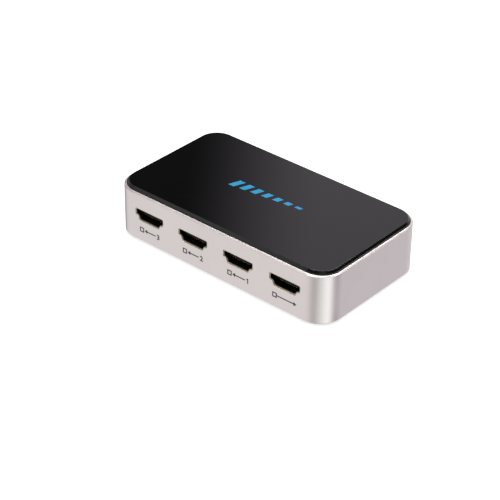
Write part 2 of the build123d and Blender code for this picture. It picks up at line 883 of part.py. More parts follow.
# Switch frame: front sheet with a hole, folded sides with legs through the board
with BuildPart() as switch_frame:
    with BuildSketch(Plane.XY.offset(board_top_z)):
        with Locations((button_x, (switch_front_y + body_front_y) / 2)):
            Rectangle(switch_width + 2 * (frame_side_fit + frame_sheet), frame_sheet)
        with Locations(*[(x, (switch_front_y + frame_side_back_y) / 2) for x, _ in frame_leg_places]):
            Rectangle(frame_sheet, switch_front_y - frame_side_back_y)
    extrude(amount=switch_height)
    with BuildSketch(Plane.XY.offset(board_bottom_z - leg_below_board)):
        with Locations(*frame_leg_places):
            Rectangle(frame_sheet, frame_leg_width)
    extrude(amount=board_thickness + leg_below_board)
    with BuildSketch(facing_front(switch_front_y)):
        with Locations((button_x, 0)):
            Circle(plunger_diameter / 2 + frame_hole_clearance)
    extrude(amount=frame_sheet, mode=Mode.SUBTRACT)
save(switch_frame.part, "switch_frame")

# Switch terminals: two bent strips at the back of the body
with BuildPart() as switch_terminals:
    with BuildSketch(*[across(button_x + side * terminal_spacing / 2) for side in (-1, 1)]):
        with BuildLine():
            Polyline(
                (switch_back_y, board_top_z),
                (switch_back_y, board_top_z + switch_height * terminal_rise_share),
                (switch_back_y - terminal_thickness, board_top_z + switch_height * terminal_rise_share),
                (switch_back_y - terminal_thickness, board_top_z + terminal_thickness),
                (switch_back_y - terminal_thickness - terminal_width, board_top_z + terminal_thickness),
                (switch_back_y - terminal_thickness - terminal_width, board_top_z),
                close=True,
            )
        make_face()
    extrude(amount=terminal_width / 2, both=True)
save(switch_terminals.part, "switch_terminals")

# Infrared window: flush in the wall, with a flange against its inside
with BuildPart() as infrared_window:
    with BuildSketch(facing_front(rear_y)):
        with Locations((window_x, 0)):
            SlotOverall(window_width, window_height)
    extrude(amount=wall)
    with BuildSketch(facing_front(rear_inner_y)):
        with Locations((window_x, 0)):
            SlotOverall(window_width + 2 * window_flange_lip, window_height + 2 * window_flange_lip)
    extrude(amount=window_flange_thickness)
save(infrared_window.part, "infrared_window")

# Infrared receiver: moulded block with a barrel lens, on three leads
lens_front_y = rear_inner_y - window_flange_thickness - receiver_lens_gap
receiver_front_y = lens_front_y - receiver_lens_radius
receiver_y = receiver_front_y - receiver_depth / 2
receiver_base_z = board_top_z + receiver_stand
with BuildPart() as infrared_receiver:
    with BuildSketch(Plane.XY.offset(receiver_base_z)):
        with Locations((window_x, receiver_y)):
            Rectangle(receiver_width, receiver_depth)
    extrude(amount=receiver_height)
    chamfer(infrared_receiver.faces().sort_by(Axis.Y)[0].edges().filter_by(Axis.Z), receiver_edge_chamfer)
    with BuildSketch(Plane.XY.offset(port_z - receiver_lens_height / 2)):
        with Locations((window_x, receiver_front_y)):
            Circle(receiver_lens_radius)
    extrude(amount=receiver_lens_height)
save(infrared_receiver.part, "infrared_receiver")
with BuildPart() as infrared_receiver_leads:
    with BuildSketch(Plane.XY.offset(board_top_z)):
        with Locations(*[(window_x + side * receiver_lead_pitch, receiver_y) for side in (-1, 0, 1)]):
            Rectangle(receiver_lead_width, receiver_lead_width)
    extrude(amount=receiver_stand)
save(infrared_receiver_leads.part, "infrared_receiver_leads")

# Light guide: round tips in the wall, square rods, elbows over the lights, a bar and two pegs
guide_neck_y = rear_inner_y - guide_neck
guide_foot_z = board_top_z + led_height + led_gap
with BuildPart() as light_guide:
    with BuildSketch(facing_front(rear_y)):
        with Locations(*[(x, 0) for x in led_xs]):
            Circle(guide_tip_diameter / 2)
    extrude(amount=rear_y - guide_neck_y)
    with BuildSketch(facing_front(guide_neck_y)):
        with Locations(*[(x, 0) for x in led_xs]):
            Rectangle(guide_rod, guide_rod)
    extrude(amount=guide_neck_y - guide_back_y)
    with BuildSketch(Plane.XY.offset(guide_foot_z)):
        with Locations(*[(x, led_y) for x in led_xs]):
            Rectangle(guide_rod, guide_rod)
    extrude(amount=port_z - guide_foot_z)
    chamfer(light_guide.edges().group_by(Axis.Y)[0].group_by(Axis.Z)[-1], guide_elbow_chamfer)
    with BuildSketch(Plane.XY.offset(port_z - guide_bar_height / 2)):
        with Locations(((min(led_xs) + max(led_xs)) / 2, guide_bar_y)):
            Rectangle(max(led_xs) - min(led_xs), guide_bar_thickness)
    extrude(amount=guide_bar_height)
    with BuildSketch(Plane.XY.offset(board_top_z)):
        with Locations(*[(x, guide_bar_y) for x in guide_peg_xs]):
            Rectangle(guide_shoulder, guide_shoulder)
    extrude(amount=port_z - board_top_z)
    with BuildSketch(Plane.XY.offset(board_bottom_z)):
        with Locations(*[(x, guide_bar_y) for x in guide_peg_xs]):
            Circle(guide_peg_diameter / 2)
    extrude(amount=board_thickness)
save(light_guide.part, "light_guide")


def led_blocks(xs):
    """Small lights on the board, one under each elbow of the guide."""
    with BuildPart() as blocks:
        with BuildSketch(Plane.XY.offset(board_top_z)):
            with Locations(*[(x, led_y) for x in xs]):
                Rectangle(led_length, led_width)
        extrude(amount=led_height)
    return blocks.part


save(led_blocks(led_xs[:-1]), "channel_leds")
save(led_blocks(led_xs[-1:]), "power_led")

# Power jack: moulded body with a collar through the wall, pin and spring contact
jack_front_x = left_x + jack_set_in
jack_body_x = left_inner_x + jack_wall_gap
jack_back_x = jack_body_x + jack_length
pocket_front_x = jack_body_x + jack_spring_setback
pocket_back_x = pocket_front_x + jack_spring_length + 2 * jack_spring_fit
with BuildPart() as power_jack_body:
    with BuildSketch(facing_left(jack_body_x)):
        Rectangle(jack_width, jack_height)
    extrude(amount=-jack_length)
    chamfer(power_jack_body.faces().sort_by(Axis.Z)[-1].edges().filter_by(Axis.X), jack_edge_chamfer)
    with BuildSketch(facing_left(jack_front_x)):
        Circle(jack_collar / 2)
    extrude(amount=-(jack_body_x - jack_front_x))
    with BuildSketch(facing_left(jack_front_x)):
        Circle(jack_bore / 2)
    extrude(amount=-jack_bore_depth, mode=Mode.SUBTRACT)
    with BuildSketch(facing_left(jack_front_x)):
        Circle(jack_pin / 2 + jack_pin_fit)
    extrude(amount=jack_front_x - jack_back_x - overrun, mode=Mode.SUBTRACT)
    # Pocket for the spring contact, open to the bore and to the underside
    with BuildSketch(Plane.XY.offset(board_top_z - overrun)):
        with Locations(((pocket_front_x + pocket_back_x) / 2, jack_y)):
            Rectangle(pocket_back_x - pocket_front_x, jack_spring_width + 2 * jack_spring_fit)
    extrude(amount=overrun + jack_z - board_top_z, mode=Mode.SUBTRACT)
save(power_jack_body.part, "power_jack_body")

with BuildPart() as power_jack_pin:
    with BuildSketch(facing_left(jack_front_x + jack_pin_set_in)):
        Circle(jack_pin / 2)
    extrude(amount=jack_front_x + jack_pin_set_in - jack_back_x)
    chamfer(power_jack_pin.faces().sort_by(Axis.X)[0].edges(), jack_pin_bevel)
    with BuildSketch(facing_left(jack_back_x)):
        Circle(jack_tail_width / 2)
        with Locations((0, (board_top_z - jack_z) / 2)):
            Rectangle(jack_tail_width, jack_z - board_top_z)
    extrude(amount=-jack_tail_sheet)
save(power_jack_pin.part, "power_jack_pin")

spring_back_x = pocket_back_x - jack_spring_fit
leaf_z = jack_z - jack_bore / 2 - jack_spring_sheet
with BuildPart() as power_jack_spring:
    with BuildSketch(Plane.XZ.offset(-jack_y)):
        with BuildLine():
            Polyline(
                (spring_back_x, board_top_z),
                (spring_back_x, leaf_z + jack_spring_sheet),
                (spring_back_x - jack_spring_length, leaf_z + jack_spring_sheet),
                (spring_back_x - jack_spring_length, leaf_z),
                (spring_back_x - jack_spring_sheet, leaf_z),
                (spring_back_x - jack_spring_sheet, board_top_z),
                close=True,
            )
        make_face()
    extrude(amount=jack_spring_width / 2, both=True)
save(power_jack_spring.part, "power_jack_spring")


def chip_body(place, length, width, height, edge=chip_edge_chamfer):
    """A moulded chip package with bevelled top edges and a mark for its first lead."""
    with BuildPart() as chip:
        with BuildSketch(Plane.XY.offset(board_top_z + chip_stand)):
            with Locations(place):
                Rectangle(length, width)
        extrude(amount=height - chip_stand)
        chamfer(chip.faces().sort_by(Axis.Z)[-1].edges(), edge)
        with BuildSketch(Plane.XY.offset(board_top_z + height)):
            with Locations((place[0] - length / 2 + chip_mark_inset, place[1] - width / 2 + chip_mark_inset)):
                Circle(chip_mark / 2)
        extrude(amount=-chip_mark_depth, mode=Mode.SUBTRACT)
    return chip.part


def gull_leads(place, spans, count, pitch, width, reach, height):
    """Bent leads along the sides of a package; spans gives half its size for each azimuth."""
    planes = []
    for azimuth, half in spans.items():
        out = (cos(radians(azimuth)), sin(radians(azimuth)))
        for index in range(count):
            along = pitch * (index - (count - 1) / 2)
            origin = (
                place[0] + half * out[0] - along * out[1],
                place[1] + half * out[1] + along * out[0],
                0,
            )
            planes.append(Plane(origin=origin, x_dir=(out[0], out[1], 0), z_dir=(out[1], -out[0], 0)))
    strip = bent_strip(
        0,
        reach * lead_shoulder_share,
        reach,
        board_top_z + height / 2,
        board_top_z,
        chip_lead_thickness,
    )
    with BuildPart() as leads:
        with BuildSketch(*planes):
            with BuildLine():
                Polyline(*strip, close=True)
            make_face()
        extrude(amount=width / 2, both=True)
    return leads.part


# Switch chip: square package with leads on four sides
chip_place = (0, board_y + board_depth * chip_y_share)
save(chip_body(chip_place, chip_side, chip_side, chip_height), "switch_chip")
chip_leads = gull_leads(
    chip_place,
    {0: chip_side / 2, 90: chip_side / 2, 180: chip_side / 2, 270: chip_side / 2},
    chip_lead_count,
    chip_lead_pitch,
    chip_lead_width,
    chip_lead_reach,
    chip_height,
)
save(chip_leads, "switch_chip_leads")

# Controller chip: long package with leads on two sides
controller_place = on_board(controller_place_shares)
save(chip_body(controller_place, controller_length, controller_width, controller_height), "controller_chip")
controller_leads = gull_leads(
    controller_place,
    {90: controller_width / 2, 270: controller_width / 2},
    controller_lead_count,
    controller_lead_pitch,
    controller_lead_width,
    controller_lead_reach,
    controller_height,
)
save(controller_leads, "controller_chip_leads")

# Voltage regulator: three leads on one side, a wide tab on the other
regulator_place = on_board(regulator_place_shares)
save(chip_body(regulator_place, regulator_length, regulator_width, regulator_height), "voltage_regulator")
regulator_pins = gull_leads(
    regulator_place,
    {270: regulator_width / 2},
    regulator_lead_count,
    regulator_lead_pitch,
    regulator_lead_width,
    regulator_lead_reach,
    regulator_height,
)
regulator_tab = gull_leads(
    regulator_place,
    {90: regulator_width / 2},
    1,
    regulator_lead_pitch,
    regulator_tab_width,
    regulator_lead_reach,
    regulator_height,
)
with BuildPart() as regulator_leads:
    add(regulator_pins)
    add(regulator_tab)
save(regulator_leads.part, "regulator_leads")

# Power inductor: a drum core
inductor_place = on_board(inductor_place_shares)
with BuildPart() as power_inductor:
    for bottom, diameter, height in (
        (0, inductor_diameter, inductor_flange),
        (inductor_flange, inductor_waist, inductor_height - 2 * inductor_flange),
        (inductor_height - inductor_flange, inductor_diameter, inductor_flange),
    ):
        with BuildSketch(Plane.XY.offset(board_top_z + bottom)):
            with Locations(inductor_place):
                Circle(diameter / 2)
        extrude(amount=height)
save(power_inductor.part, "power_inductor")

# Smoothing capacitors: cans on square bases with two cut corners
capacitor_places = [on_board(shares) for shares in capacitor_places_shares]
with BuildPart() as capacitor_bases:
    with BuildSketch(Plane.XY.offset(board_top_z)) as base_outline:
        with Locations(*capacitor_places):
            Rectangle(capacitor_base_side, capacitor_base_side)
        fillet(base_outline.vertices(), capacitor_base_round)
    extrude(amount=capacitor_base_height)
save(capacitor_bases.part, "capacitor_bases")
with BuildPart() as smoothing_capacitors:
    with BuildSketch(Plane.XY.offset(board_top_z + capacitor_base_height)):
        with Locations(*capacitor_places):
            Circle(capacitor_diameter / 2)
    extrude(amount=capacitor_height)
    chamfer(smoothing_capacitors.faces().group_by(Axis.Z)[-1].edges(), capacitor_edge_bevel)
save(smoothing_capacitors.part, "smoothing_capacitors")

# Crystal: a drawn can with a brim
crystal_place = on_board(crystal_place_shares)
with BuildPart() as crystal:
    with BuildSketch(Plane.XY.offset(board_top_z)):
        with Locations(crystal_place):
            SlotOverall(crystal_length, crystal_width)
    extrude(amount=crystal_brim_height)
    with BuildSketch(Plane.XY.offset(board_top_z + crystal_brim_height)):
        with Locations(crystal_place):
            SlotOverall(crystal_length - 2 * crystal_brim, crystal_width - 2 * crystal_brim)
    extrude(amount=crystal_height - crystal_brim_height)
    chamfer(crystal.faces().sort_by(Axis.Z)[-1].edges(), crystal_brim)
save(crystal.part, "crystal")


def blocks_on_board(places, length, width, height):
    """Small rectangular parts soldered flat on the board."""
    with BuildPart() as blocks:
        with BuildSketch(Plane.XY.offset(board_top_z)):
            with Locations(*places):
                Rectangle(length, width)
        extrude(amount=height)
    return blocks.part


esd_y = contact_end_y + esd_behind_contacts + esd_width / 2
esd_places = [(x + side * esd_spacing / 2, esd_y) for x in port_xs for side in (-1, 1)]
save(blocks_on_board(esd_places, esd_length, esd_width, esd_height), "esd_arrays")
capacitor_chips = [on_board(shares) for shares in capacitor_chip_places_shares]
resistor_chips = [on_board(shares) for shares in resistor_chip_places_shares]
save(
    blocks_on_board(capacitor_chips, small_chip_width, small_chip_length, small_chip_height),
    "chip_capacitors",
)
save(
    blocks_on_board(resistor_chips, small_chip_length, small_chip_width, resistor_chip_height),
    "chip_resistors",
)
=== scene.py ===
"""Looks of the HDMI switch box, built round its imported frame. Metres, +Z up, receptacles towards -Y."""

import json
import math

import bmesh
import bpy
from mathutils import Matrix, Vector


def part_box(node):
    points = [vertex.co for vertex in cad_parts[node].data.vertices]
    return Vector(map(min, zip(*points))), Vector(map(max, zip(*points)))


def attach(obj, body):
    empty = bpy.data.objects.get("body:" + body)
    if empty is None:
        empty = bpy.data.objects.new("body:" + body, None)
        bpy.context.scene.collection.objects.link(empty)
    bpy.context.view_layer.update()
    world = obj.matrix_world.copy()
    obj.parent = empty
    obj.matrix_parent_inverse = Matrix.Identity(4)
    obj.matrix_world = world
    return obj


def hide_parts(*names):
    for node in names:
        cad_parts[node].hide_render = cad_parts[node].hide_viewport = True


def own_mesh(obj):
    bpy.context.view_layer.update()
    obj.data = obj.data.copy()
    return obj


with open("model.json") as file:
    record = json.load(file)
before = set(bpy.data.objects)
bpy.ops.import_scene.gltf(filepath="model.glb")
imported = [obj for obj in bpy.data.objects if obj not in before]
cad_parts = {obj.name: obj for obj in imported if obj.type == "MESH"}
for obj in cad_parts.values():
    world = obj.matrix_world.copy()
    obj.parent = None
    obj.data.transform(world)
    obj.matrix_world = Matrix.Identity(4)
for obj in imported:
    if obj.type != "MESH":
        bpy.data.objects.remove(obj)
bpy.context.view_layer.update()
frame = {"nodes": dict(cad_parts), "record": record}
nodes = frame["nodes"]
front_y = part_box("housing_shell")[0].y
back_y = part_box("housing_shell")[1].y
plate_top_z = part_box("top_plate")[1].z

# Camera: a long lens that looks down on the box from its front right
camera_azimuth = math.radians(40.43)
camera_elevation = math.radians(32.65)
camera_roll = math.radians(0.83)
camera_distance = 0.6800
camera_target = Vector((-0.0040, -0.0046, -0.0006))
camera_clip = 0.01
lens_mm = 125.0
sensor_mm = 36.0
to_camera = Vector((
    math.sin(camera_azimuth) * math.cos(camera_elevation),
    -math.cos(camera_azimuth) * math.cos(camera_elevation),
    math.sin(camera_elevation),
))
across_view = Vector((math.cos(camera_azimuth), math.sin(camera_azimuth), 0))

# Floor, and the light that falls on matt surfaces from all round
floor_half = 3.0
floor_albedo = 0.86
floor_glow = 0.55
ambient_level = 0.62

# Surround that reflections show, by azimuth in degrees from -Y towards +X: the levels at the horizon
# and below it, the tint that these levels get, and the levels higher up
low_surround = {
    -180: 0.92, -162: 0.85, -146: 0.35, -138: 0.12, -108: 0.20, -96: 0.62, -84: 1.00, -60: 1.04,
    -22: 1.095, -6: 0.89, 5: 0.555, 17: 0.505, 32: 1.02, 54: 1.28, 76: 1.90, 90: 1.25, 102: 0.56,
    118: 0.47, 130: 0.74, 142: 0.87, 180: 0.92,
}
tint_surround = {
    -180: (1.0, 0.975, 1.035), -138: (1.0, 1.0, 1.0), -84: (1.0, 1.03, 1.045), -58: (1.0, 1.03, 1.045),
    -46: (1.0, 1.0, 1.0), 20: (1.0, 1.0, 1.0), 50: (0.945, 0.995, 1.0), 78: (0.945, 0.995, 1.0),
    92: (1.0, 0.985, 1.02), 115: (1.0, 0.975, 1.035), 180: (1.0, 0.975, 1.035),
}
high_surround = {
    -180: 0.85, -62: 0.50, -52: 0.62, -48: 0.93, -44: 0.76, -37: 0.12, 20: 0.12, 42: 0.42, 60: 0.42,
    80: 0.08, 150: 0.08, 168: 0.85, 180: 0.85,
}

# Heights at which the surround changes, as the Z of a direction, and its level overhead
low_edge = 0.0
high_edge = 0.30
zenith_start = 0.86
zenith_end = 0.97
zenith_level = 0.45

# Card that the plate mirrors: dark on the camera's left, light on its right
card_distance = 0.95
card_half = 0.22
card_dark = 0.052
card_light = 0.74
card_tint = (1.0, 0.93, 1.01)
card_ramp_start = -0.076
card_ramp_end = 0.064
card_slant = 0.145

# Materials: the depth behind the front face at which the receptacles' metal has turned fully to its painted
# shade, the copper tracks under the board's solder mask, and how the Bevel node samples
painted_shade_depth = 0.0009
track_scale = 160.0
track_gap = 0.012
bevel_samples = 6

# Places of the factor, the two colours and the result among the Mix node's sockets
mix_share, mix_first, mix_second, mix_result = 0, 6, 7, 2

# Ink, and the distance within which its corners are joined
ink_thickness = 0.00002
ink_stroke = 0.00048
ink_weld = ink_thickness / 10

# Digits: the font's digits are 0.7 of its size high
digit_height = 0.0022
digit_font_share = 0.7
digit_weight = 0.00009
one_flag = 0.00046
one_flag_drop = 0.0004

# Labels under the receptacles, and over the lights
digit_names = {"input_3": "3", "input_2": "2", "input_1": "1"}
arrow_head = 0.0014
arrow_wing_share = 0.66
arrow_gap = 0.0003
label_width = 0.0104
label_gap = 0.0007
label_foot = 0.0042
output_label_width = 0.0116
light_label_rise = 0.0024
power_sign_gap_share = 0.2

# Mark on the top plate: a row of slanted bars that rise from right to left
mark_left = -0.0176
mark_right = 0.0159
mark_foot_y = 0.0029
mark_height = 0.0052
mark_bar_count = 7
mark_bar_width = 0.0027
mark_lowest_share = 0.28
mark_slant = 0.35

# Snap dome inside the push switch
dome_sheet = 0.0001
dome_crown = 0.0013

# Steps of a round outline, and the direction straight up in turns
round_steps = 24
up_turn = 0.25


def grey(level):
    """A colour of one level."""
    return (level, level, level)


class Graph:
    """A node tree, with a short call for each kind of node that the looks need."""

    def __init__(self, tree):
        self.tree = tree

    def node(self, kind, **settings):
        """A new node with its settings."""
        node = self.tree.nodes.new(kind)
        for key, value in settings.items():
            setattr(node, key, value)
        return node

    def feed(self, socket, value):
        """Gives a socket another node's output, a colour or a number."""
        if isinstance(value, bpy.types.NodeSocket):
            self.tree.links.new(value, socket)
        elif isinstance(value, (tuple, list)):
            socket.default_value = (*value, 1.0)
        else:
            socket.default_value = value

    def combine(self, operation, first, second):
        """Two numbers put together by an operation."""
        node = self.node("ShaderNodeMath", operation=operation)
        self.feed(node.inputs[0], first)
        self.feed(node.inputs[1], second)
        return node.outputs["Value"]

    def split(self, vector):
        """The X, Y and Z of a vector."""
        node = self.node("ShaderNodeSeparateXYZ")
        self.feed(node.inputs["Vector"], vector)
        return node.outputs

    def spread(self, value, start, end, low=0.0, high=1.0, interpolation="LINEAR"):
        """A value stretched so that start to end becomes low to high."""
        node = self.node("ShaderNodeMapRange", interpolation_type=interpolation)
        given = {"Value": value, "From Min": start, "From Max": end, "To Min": low, "To Max": high}
        for name, part in given.items():
            self.feed(node.inputs[name], part)
        return node.outputs["Result"]

    def blend(self, share, first, second, kind="MIX"):
        """Two colours mixed by a share; each is given or comes from another node."""
        node = self.node("ShaderNodeMix", data_type="RGBA", blend_type=kind)
        for place, value in ((mix_share, share), (mix_first, first), (mix_second, second)):
            self.feed(node.inputs[place], value)
        return node.outputs[mix_result]

    def ring(self, turn, stops):
        """Levels or colours that change with the azimuth, given as a share of a full turn."""
        node = self.node("ShaderNodeValToRGB")
        elements = node.color_ramp.elements
        while len(elements) > 1:
            elements.remove(elements[-1])
        for index, (azimuth, level) in enumerate(stops.items()):
            place = azimuth / 360 + 0.5
            element = elements[0] if index == 0 else elements.new(place)
            element.position = place
            element.color = (*(level if isinstance(level, tuple) else grey(level)), 1.0)
        self.feed(node.inputs["Fac"], turn)
        return node.outputs["Color"]

    def glow(self, colour, strength):
        """An emission shader."""
        node = self.node("ShaderNodeEmission")
        self.feed(node.inputs["Color"], colour)
        self.feed(node.inputs["Strength"], strength)
        return node.outputs["Emission"]

    def surface(self, shader):
        """Makes a shader the material's surface."""
        self.feed(self.node("ShaderNodeOutputMaterial").inputs["Surface"], shader)


# Every finish by its name, which for the CAD nodes is the name of their material slot
finishes = {}


class Finish(Graph):
    """A procedural material with one Principled shader, built up by its methods."""

    def __init__(self, name, **values):
        material = bpy.data.materials.new(name)
        material.use_nodes = True
        finishes[name] = material
        super().__init__(material.node_tree)
        self.shader = self.tree.nodes["Principled BSDF"]
        self.place = self.node("ShaderNodeTexCoord").outputs["Object"]
        self.normal = None
        for key, value in values.items():
            self.shader.inputs[key.replace("_", " ")].default_value = value

    def noise(self, size, detail=2.0, stretch=(1.0, 1.0, 1.0)):
        """A grey pattern from 0 to 1, with spots of about that size in metres."""
        mapping = self.node("ShaderNodeMapping")
        mapping.inputs["Scale"].default_value = [1 / (size * share) for share in stretch]
        self.feed(mapping.inputs["Vector"], self.place)
        pattern = self.node("ShaderNodeTexNoise")
        self.feed(pattern.inputs["Vector"], mapping.outputs["Vector"])
        self.feed(pattern.inputs["Scale"], 1.0)
        self.feed(pattern.inputs["Detail"], detail)
        return pattern.outputs["Fac"]

    def contrast(self, pattern, low=0.0, high=1.0):
        """A noise pattern, whose values lie round the middle, stretched from low to high."""
        return self.spread(pattern, start=0.3, end=0.7, low=low, high=high)

    def colour(self, output):
        """Takes the base colour from an output."""
        self.feed(self.shader.inputs["Base Color"], output)

    def roughness(self, output):
        """Takes the roughness from an output."""
        self.feed(self.shader.inputs["Roughness"], output)

    def round_edges(self, radius):
        """Gives sharp edges the look of a small rounding."""
        bevel = self.node("ShaderNodeBevel", samples=bevel_samples)
        self.feed(bevel.inputs["Radius"], radius)
        self.normal = bevel.outputs["Normal"]
        self.feed(self.shader.inputs["Normal"], self.normal)

    def bump(self, pattern, depth, strength):
        """Raises the surface by the pattern, over any rounding of its edges."""
        bump = self.node("ShaderNodeBump")
        self.feed(bump.inputs["Strength"], strength)
        self.feed(bump.inputs["Distance"], depth)
        self.feed(bump.inputs["Height"], pattern)
        if self.normal:
            self.feed(bump.inputs["Normal"], self.normal)
        self.feed(self.shader.inputs["Normal"], bump.outputs["Normal"])


def housing_metal():
    """Fine satin silver, a little warm, with a blasted grain."""
    finish = Finish("housing_metal", Metallic=1.0, IOR=1.5)
    cloud = finish.noise(size=0.018, detail=3.0)
    grain = finish.noise(size=0.00022)
    finish.round_edges(radius=0.00015)
    soft = finish.contrast(cloud)
    dull = finish.blend(soft, (0.598, 0.550, 0.535), (0.627, 0.579, 0.565))
    bright = finish.blend(soft, (0.642, 0.590, 0.575), (0.673, 0.621, 0.605))
    finish.colour(finish.blend(finish.contrast(grain), dull, bright))
    finish.roughness(finish.contrast(cloud, low=0.34, high=0.38))
    finish.bump(grain, depth=0.00001, strength=0.25)


def plate_gloss():
    """Polished black plastic with a faint waviness and fine dust."""
    finish = Finish("plate_gloss", IOR=1.49)
    wave = finish.noise(size=0.012)
    dust = finish.noise(size=0.00035, detail=4.0)
    finish.round_edges(radius=0.00012)
    specks = finish.spread(dust, start=0.68, end=0.8)
    finish.colour(finish.blend(specks, (0.0013, 0.0012, 0.0013), (0.006, 0.006, 0.006)))
    finish.roughness(finish.contrast(wave, low=0.045, high=0.075))
    finish.bump(wave, depth=0.00002, strength=0.12)


def moulded(name, dark, light, roughness, grain=0.0004, shine=0.5):
    """Moulded plastic or rubber with a fine spark grain."""
    finish = Finish(name, IOR=1.5, Specular_IOR_Level=shine)
    cloud = finish.noise(size=0.01, detail=3.0)
    spark = finish.noise(size=grain, detail=3.0)
    finish.round_edges(radius=0.0001)
    finish.colour(finish.blend(finish.contrast(cloud), dark, light))
    finish.roughness(finish.contrast(spark, low=roughness - 0.07, high=roughness + 0.07))
    finish.bump(spark, depth=0.00002, strength=0.5)


def plated(name, dark, light, roughness, painted_shade_colour=None):
    """Plated or tinned sheet with faint rolling lines; if a painted shade colour is given, its colour turns
    to that painted shade just behind the front face, standing in for the shade inside a receptacle's mouth.
    """
    finish = Finish(name, Metallic=1.0)
    cloud = finish.noise(size=0.003, detail=3.0)
    lines = finish.noise(size=0.0006, stretch=(0.2, 3.0, 0.2))
    finish.round_edges(radius=0.00006)
    colour = finish.blend(finish.contrast(cloud), dark, light)
    if painted_shade_colour:
        # Painted shade: deeper than the lip, the colour darkens to stand in for the shade inside the mouth
        y = finish.split(finish.place)["Y"]
        depth = finish.spread(y, start=front_y + painted_shade_depth / 2, end=front_y + painted_shade_depth)
        colour = finish.blend(depth, colour, painted_shade_colour)
    finish.colour(colour)
    finish.roughness(finish.contrast(lines, low=roughness - 0.05, high=roughness + 0.08))
    finish.bump(lines, depth=0.000006, strength=0.3)


def clear_resin(name, tint, transmission, roughness):
    """Clear or tinted plastic that lets light through."""
    finish = Finish(name, IOR=1.49, Transmission_Weight=transmission)
    cloud = finish.noise(size=0.002)
    finish.round_edges(radius=0.0001)
    darker = [channel * 0.9 for channel in tint]
    finish.colour(finish.blend(finish.contrast(cloud), darker, tint))
    finish.roughness(finish.contrast(cloud, low=roughness, high=roughness + 0.05))
    finish.bump(cloud, depth=0.00001, strength=0.1)


def board_laminate():
    """Green solder mask over copper tracks, with the glass weave showing faintly."""
    finish = Finish("board_laminate", IOR=1.5)
    tracks = finish.node("ShaderNodeTexBrick", offset=0.5)
    finish.feed(tracks.inputs["Vector"], finish.place)
    finish.feed(tracks.inputs["Scale"], track_scale)
    finish.feed(tracks.inputs["Mortar Size"], track_gap)
    weave = finish.noise(size=0.0008)
    base = finish.blend(finish.contrast(weave), (0.006, 0.075, 0.030), (0.009, 0.095, 0.040))
    finish.colour(finish.blend(tracks.outputs["Fac"], base, (0.018, 0.16, 0.065)))
    finish.roughness(finish.contrast(weave, low=0.28, high=0.36))
    finish.bump(tracks.outputs["Fac"], depth=0.00003, strength=0.5)


def ink(name, dark, light):
    """Screen-printed ink with slightly uneven cover."""
    finish = Finish(name, IOR=1.5, Specular_IOR_Level=0.25)
    cover = finish.noise(size=0.0009, detail=3.0)
    finish.colour(finish.blend(finish.contrast(cover), dark, light))
    finish.roughness(finish.contrast(cover, low=0.38, high=0.5))
    finish.bump(cover, depth=0.000005, strength=0.3)


housing_metal()
plate_gloss()
board_laminate()
moulded("tape_film", (0.05, 0.05, 0.05), (0.08, 0.08, 0.08), roughness=0.6)
moulded("cover_plastic", (0.012, 0.012, 0.013), (0.018, 0.018, 0.019), roughness=0.5)
moulded("foot_rubber", (0.028, 0.028, 0.029), (0.040, 0.039, 0.039), roughness=0.75, grain=0.0003)
moulded("receptacle_plastic", (0.005, 0.004, 0.0035), (0.008, 0.0065, 0.0055), roughness=0.6, shine=0.12)
moulded("chip_plastic", (0.012, 0.012, 0.013), (0.020, 0.020, 0.021), roughness=0.55)
moulded("ferrite", (0.03, 0.028, 0.026), (0.05, 0.047, 0.044), roughness=0.6)
moulded("ceramic", (0.20, 0.13, 0.07), (0.28, 0.18, 0.10), roughness=0.45)
moulded("receiver_resin", (0.008, 0.006, 0.009), (0.014, 0.010, 0.014), roughness=0.2)
moulded("button_plastic", (0.014, 0.014, 0.015), (0.020, 0.020, 0.021), roughness=0.34)
moulded("switch_plastic", (0.02, 0.02, 0.02), (0.03, 0.03, 0.03), roughness=0.5)
moulded("jack_plastic", (0.008, 0.008, 0.008), (0.013, 0.013, 0.013), roughness=0.4)
# Receptacle shells: a bright lip at the front, then a painted shade inside the mouth
plated("receptacle_metal", (0.44, 0.385, 0.26), (0.56, 0.50, 0.35), roughness=0.30, painted_shade_colour=(0.08, 0.068, 0.045))
plated("screw_steel", (0.32, 0.32, 0.33), (0.45, 0.45, 0.46), roughness=0.32)
plated("contact_gold", (0.62, 0.42, 0.14), (0.78, 0.56, 0.22), roughness=0.22)
plated("lead_tin", (0.60, 0.60, 0.60), (0.72, 0.72, 0.71), roughness=0.28)
plated("can_aluminium", (0.66, 0.66, 0.67), (0.76, 0.76, 0.77), roughness=0.30)
clear_resin("window_plastic", (0.035, 0.004, 0.007), transmission=0.35, roughness=0.05)
clear_resin("guide_acrylic", (0.78, 0.81, 0.83), transmission=0.45, roughness=0.32)
clear_resin("led_resin", (0.80, 0.78, 0.55), transmission=0.3, roughness=0.2)
ink("label_ink", (0.045, 0.043, 0.042), (0.075, 0.072, 0.070))
ink("mark_ink", (0.0, 0.315, 0.60), (0.0, 0.36, 0.67))

for row in frame["record"]["subparts"]:
    node = nodes[row["node"]]
    node.data.materials.clear()
    node.data.materials.append(finishes[row["material_slot"]])


def add_object(name, data):
    """A new object in the scene."""
    made = bpy.data.objects.new(name, data)
    bpy.context.scene.collection.objects.link(made)
    return made


def finished_mesh(name, mesh):
    """A bmesh made into mesh data, its faces turned outwards."""
    bmesh.ops.recalc_face_normals(mesh, faces=mesh.faces)
    data = bpy.data.meshes.new(name)
    mesh.to_mesh(data)
    mesh.free()
    return data


def printed(name, mesh, ink_name):
    """A printed piece on the box, made from its bmesh."""
    data = finished_mesh(name, mesh)
    data.materials.append(finishes[ink_name])
    piece = add_object(name, data)
    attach(piece, "box")


